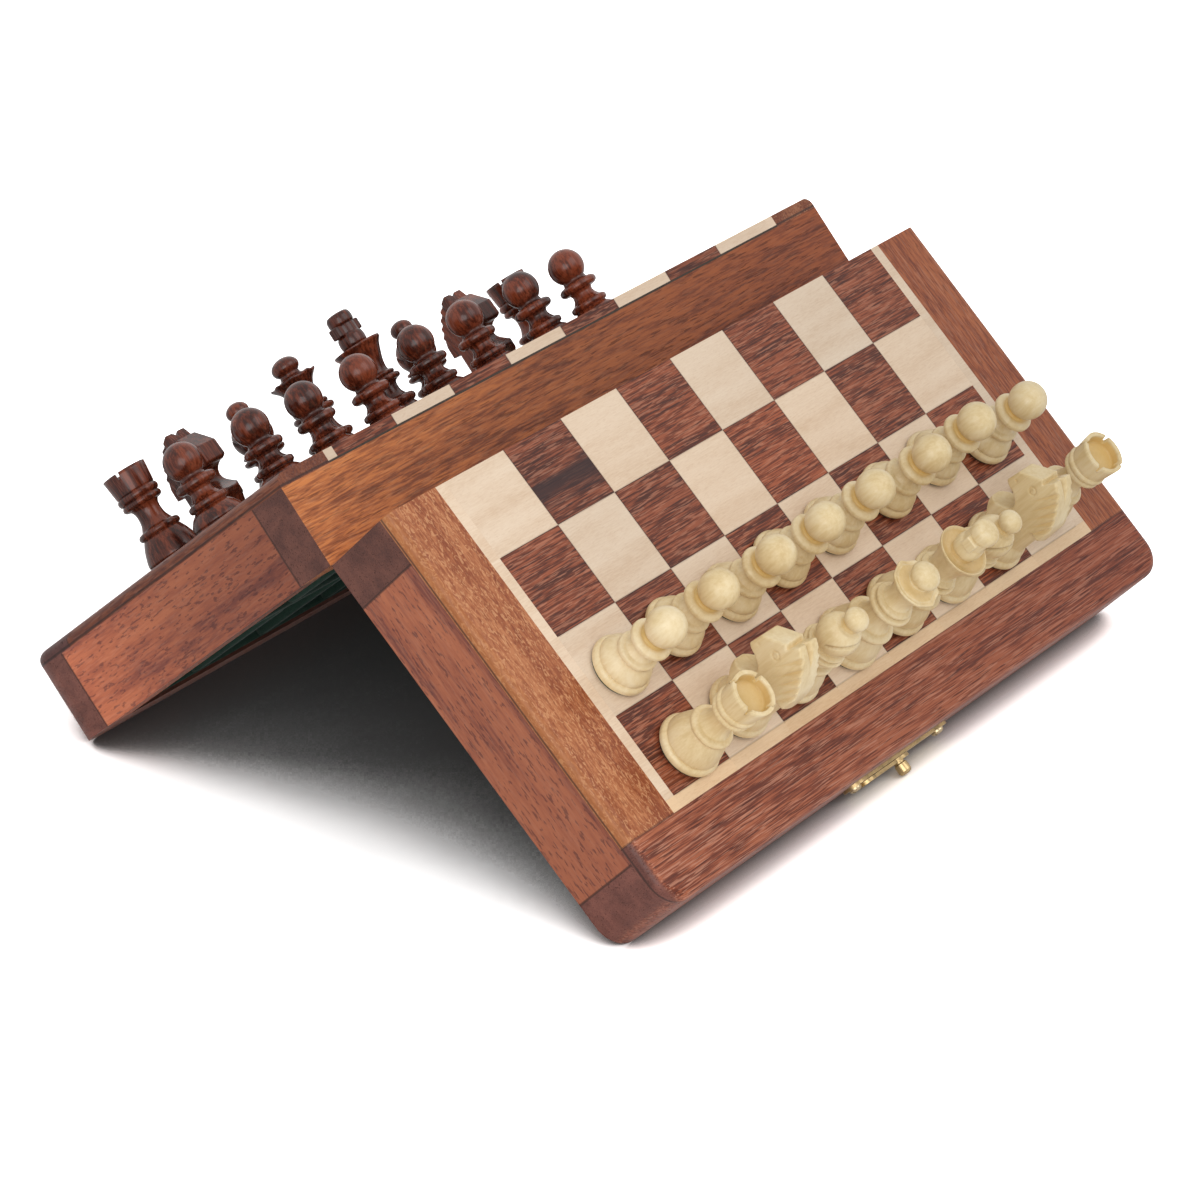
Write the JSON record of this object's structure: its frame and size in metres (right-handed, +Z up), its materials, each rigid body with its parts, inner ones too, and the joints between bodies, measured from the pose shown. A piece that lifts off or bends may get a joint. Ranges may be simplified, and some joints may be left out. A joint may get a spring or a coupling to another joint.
{
  "type": "folding chess box with men",
  "caption": "Folding wooden magnetic chess box standing half open, with a hinged board in two halves, a hook latch and turned chessmen on their squares.",
  "frame": {"origin": "on the floor at the middle of the standing box, under the hinge line", "axes": "+X along the hinge to the right as seen from the light men's side, +Y toward the dark men's half, +Z up"},
  "size_m": [0.254, 0.2365, 0.1056],
  "materials": {
    "hinge_wall_wood": "satin lacquer, long grain along the box",
    "front_wall_wood": "satin lacquer, long grain along the box",
    "end_wall_wood": "satin lacquer with dark pores",
    "rail_wood": "satin lacquer, streaked grain",
    "maple": "satin lacquer, pale and nearly plain",
    "dark_square_wood": "satin lacquer, streaked grain",
    "backing_wood": "unfinished plywood",
    "boxwood": "polished, felt under the foot",
    "rosewood": "polished, felt under the foot",
    "steel": "plain sheet",
    "green_felt": "felt",
    "brass": "lightly tarnished",
    "screw_brass": "bright"
  },
  "bodies": {
    "near_half": {"near_hinge_wall": "hinge_wall_wood", "near_front_wall": "front_wall_wood", "near_end_walls": "end_wall_wood", "near_border_rails": "rail_wood", "near_light_inlay": "maple", "near_dark_squares": "dark_square_wood", "near_steel_sheet": "steel", "near_backing_board": "backing_wood", "near_felt_lining": "green_felt", "near_hinge_leaves": "brass", "near_screws": "screw_brass", "hinge_pins": "brass", "latch_plate": "brass"},
    "far_half": {"far_hinge_wall": "hinge_wall_wood", "far_front_wall": "front_wall_wood", "far_end_walls": "end_wall_wood", "far_border_rails": "rail_wood", "far_light_inlay": "maple", "far_dark_squares": "dark_square_wood", "far_steel_sheet": "steel", "far_backing_board": "backing_wood", "far_felt_lining": "green_felt", "far_hinge_leaves": "brass", "far_screws": "screw_brass", "catch_plate": "brass"},
    "hook": {"latch_hook": "brass", "latch_knob": "brass"},
    "light_rook_a": {"light_rook_a": "boxwood"},
    "light_knight_b": {"light_knight_b": "boxwood"},
    "light_bishop_c": {"light_bishop_c": "boxwood"},
    "light_queen": {"light_queen": "boxwood"},
    "light_king": {"light_king": "boxwood"},
    "light_bishop_f": {"light_bishop_f": "boxwood"},
    "light_knight_g": {"light_knight_g": "boxwood"},
    "light_rook_h": {"light_rook_h": "boxwood"},
    "light_pawn_a": {"light_pawn_a": "boxwood"},
    "light_pawn_b": {"light_pawn_b": "boxwood"},
    "light_pawn_c": {"light_pawn_c": "boxwood"},
    "light_pawn_d": {"light_pawn_d": "boxwood"},
    "light_pawn_e": {"light_pawn_e": "boxwood"},
    "light_pawn_f": {"light_pawn_f": "boxwood"},
    "light_pawn_g": {"light_pawn_g": "boxwood"},
    "light_pawn_h": {"light_pawn_h": "boxwood"},
    "dark_rook_a": {"dark_rook_a": "rosewood"},
    "dark_knight_b": {"dark_knight_b": "rosewood"},
    "dark_bishop_c": {"dark_bishop_c": "rosewood"},
    "dark_queen": {"dark_queen": "rosewood"},
    "dark_king": {"dark_king": "rosewood"},
    "dark_bishop_f": {"dark_bishop_f": "rosewood"},
    "dark_knight_g": {"dark_knight_g": "rosewood"},
    "dark_rook_h": {"dark_rook_h": "rosewood"},
    "dark_pawn_a": {"dark_pawn_a": "rosewood"},
    "dark_pawn_b": {"dark_pawn_b": "rosewood"},
    "dark_pawn_c": {"dark_pawn_c": "rosewood"},
    "dark_pawn_d": {"dark_pawn_d": "rosewood"},
    "dark_pawn_e": {"dark_pawn_e": "rosewood"},
    "dark_pawn_f": {"dark_pawn_f": "rosewood"},
    "dark_pawn_g": {"dark_pawn_g": "rosewood"},
    "dark_pawn_h": {"dark_pawn_h": "rosewood"}
  },
  "joints": [
    {"name": "fold_hinge", "type": "hinge", "parent": "near_half", "child": "far_half", "pos_m": [0, 0, 0.08489], "axis": [-1, 0, 0], "range_deg": [-84.6, 95.4]},
    {"name": "hook_swing", "type": "hinge", "parent": "near_half", "child": "hook", "pos_m": [0, -0.0984, 0.00536], "axis": [0, -0.7396, -0.673], "range_deg": [0, 90]},
    {"name": "lift_light_rook_a", "type": "slide", "parent": "near_half", "child": "light_rook_a", "axis": [0, -0.673, 0.7396], "range_m": [0, 0.04]},
    {"name": "lift_light_knight_b", "type": "slide", "parent": "near_half", "child": "light_knight_b", "axis": [0, -0.673, 0.7396], "range_m": [0, 0.04]},
    {"name": "lift_light_bishop_c", "type": "slide", "parent": "near_half", "child": "light_bishop_c", "axis": [0, -0.673, 0.7396], "range_m": [0, 0.04]},
    {"name": "lift_light_queen", "type": "slide", "parent": "near_half", "child": "light_queen", "axis": [0, -0.673, 0.7396], "range_m": [0, 0.04]},
    {"name": "lift_light_king", "type": "slide", "parent": "near_half", "child": "light_king", "axis": [0, -0.673, 0.7396], "range_m": [0, 0.04]},
    {"name": "lift_light_bishop_f", "type": "slide", "parent": "near_half", "child": "light_bishop_f", "axis": [0, -0.673, 0.7396], "range_m": [0, 0.04]},
    {"name": "lift_light_knight_g", "type": "slide", "parent": "near_half", "child": "light_knight_g", "axis": [0, -0.673, 0.7396], "range_m": [0, 0.04]},
    {"name": "lift_light_rook_h", "type": "slide", "parent": "near_half", "child": "light_rook_h", "axis": [0, -0.673, 0.7396], "range_m": [0, 0.04]},
    {"name": "lift_light_pawn_a", "type": "slide", "parent": "near_half", "child": "light_pawn_a", "axis": [0, -0.673, 0.7396], "range_m": [0, 0.04]},
    {"name": "lift_light_pawn_b", "type": "slide", "parent": "near_half", "child": "light_pawn_b", "axis": [0, -0.673, 0.7396], "range_m": [0, 0.04]},
    {"name": "lift_light_pawn_c", "type": "slide", "parent": "near_half", "child": "light_pawn_c", "axis": [0, -0.673, 0.7396], "range_m": [0, 0.04]},
    {"name": "lift_light_pawn_d", "type": "slide", "parent": "near_half", "child": "light_pawn_d", "axis": [0, -0.673, 0.7396], "range_m": [0, 0.04]},
    {"name": "lift_light_pawn_e", "type": "slide", "parent": "near_half", "child": "light_pawn_e", "axis": [0, -0.673, 0.7396], "range_m": [0, 0.04]},
    {"name": "lift_light_pawn_f", "type": "slide", "parent": "near_half", "child": "light_pawn_f", "axis": [0, -0.673, 0.7396], "range_m": [0, 0.04]},
    {"name": "lift_light_pawn_g", "type": "slide", "parent": "near_half", "child": "light_pawn_g", "axis": [0, -0.673, 0.7396], "range_m": [0, 0.04]},
    {"name": "lift_light_pawn_h", "type": "slide", "parent": "near_half", "child": "light_pawn_h", "axis": [0, -0.673, 0.7396], "range_m": [0, 0.04]},
    {"name": "lift_dark_rook_a", "type": "slide", "parent": "far_half", "child": "dark_rook_a", "axis": [0, 0.673, 0.7396], "range_m": [0, 0.04]},
    {"name": "lift_dark_knight_b", "type": "slide", "parent": "far_half", "child": "dark_knight_b", "axis": [0, 0.673, 0.7396], "range_m": [0, 0.04]},
    {"name": "lift_dark_bishop_c", "type": "slide", "parent": "far_half", "child": "dark_bishop_c", "axis": [0, 0.673, 0.7396], "range_m": [0, 0.04]},
    {"name": "lift_dark_queen", "type": "slide", "parent": "far_half", "child": "dark_queen", "axis": [0, 0.673, 0.7396], "range_m": [0, 0.04]},
    {"name": "lift_dark_king", "type": "slide", "parent": "far_half", "child": "dark_king", "axis": [0, 0.673, 0.7396], "range_m": [0, 0.04]},
    {"name": "lift_dark_bishop_f", "type": "slide", "parent": "far_half", "child": "dark_bishop_f", "axis": [0, 0.673, 0.7396], "range_m": [0, 0.04]},
    {"name": "lift_dark_knight_g", "type": "slide", "parent": "far_half", "child": "dark_knight_g", "axis": [0, 0.673, 0.7396], "range_m": [0, 0.04]},
    {"name": "lift_dark_rook_h", "type": "slide", "parent": "far_half", "child": "dark_rook_h", "axis": [0, 0.673, 0.7396], "range_m": [0, 0.04]},
    {"name": "lift_dark_pawn_a", "type": "slide", "parent": "far_half", "child": "dark_pawn_a", "axis": [0, 0.673, 0.7396], "range_m": [0, 0.04]},
    {"name": "lift_dark_pawn_b", "type": "slide", "parent": "far_half", "child": "dark_pawn_b", "axis": [0, 0.673, 0.7396], "range_m": [0, 0.04]},
    {"name": "lift_dark_pawn_c", "type": "slide", "parent": "far_half", "child": "dark_pawn_c", "axis": [0, 0.673, 0.7396], "range_m": [0, 0.04]},
    {"name": "lift_dark_pawn_d", "type": "slide", "parent": "far_half", "child": "dark_pawn_d", "axis": [0, 0.673, 0.7396], "range_m": [0, 0.04]},
    {"name": "lift_dark_pawn_e", "type": "slide", "parent": "far_half", "child": "dark_pawn_e", "axis": [0, 0.673, 0.7396], "range_m": [0, 0.04]},
    {"name": "lift_dark_pawn_f", "type": "slide", "parent": "far_half", "child": "dark_pawn_f", "axis": [0, 0.673, 0.7396], "range_m": [0, 0.04]},
    {"name": "lift_dark_pawn_g", "type": "slide", "parent": "far_half", "child": "dark_pawn_g", "axis": [0, 0.673, 0.7396], "range_m": [0, 0.04]},
    {"name": "lift_dark_pawn_h", "type": "slide", "parent": "far_half", "child": "dark_pawn_h", "axis": [0, 0.673, 0.7396], "range_m": [0, 0.04]}
  ]
}
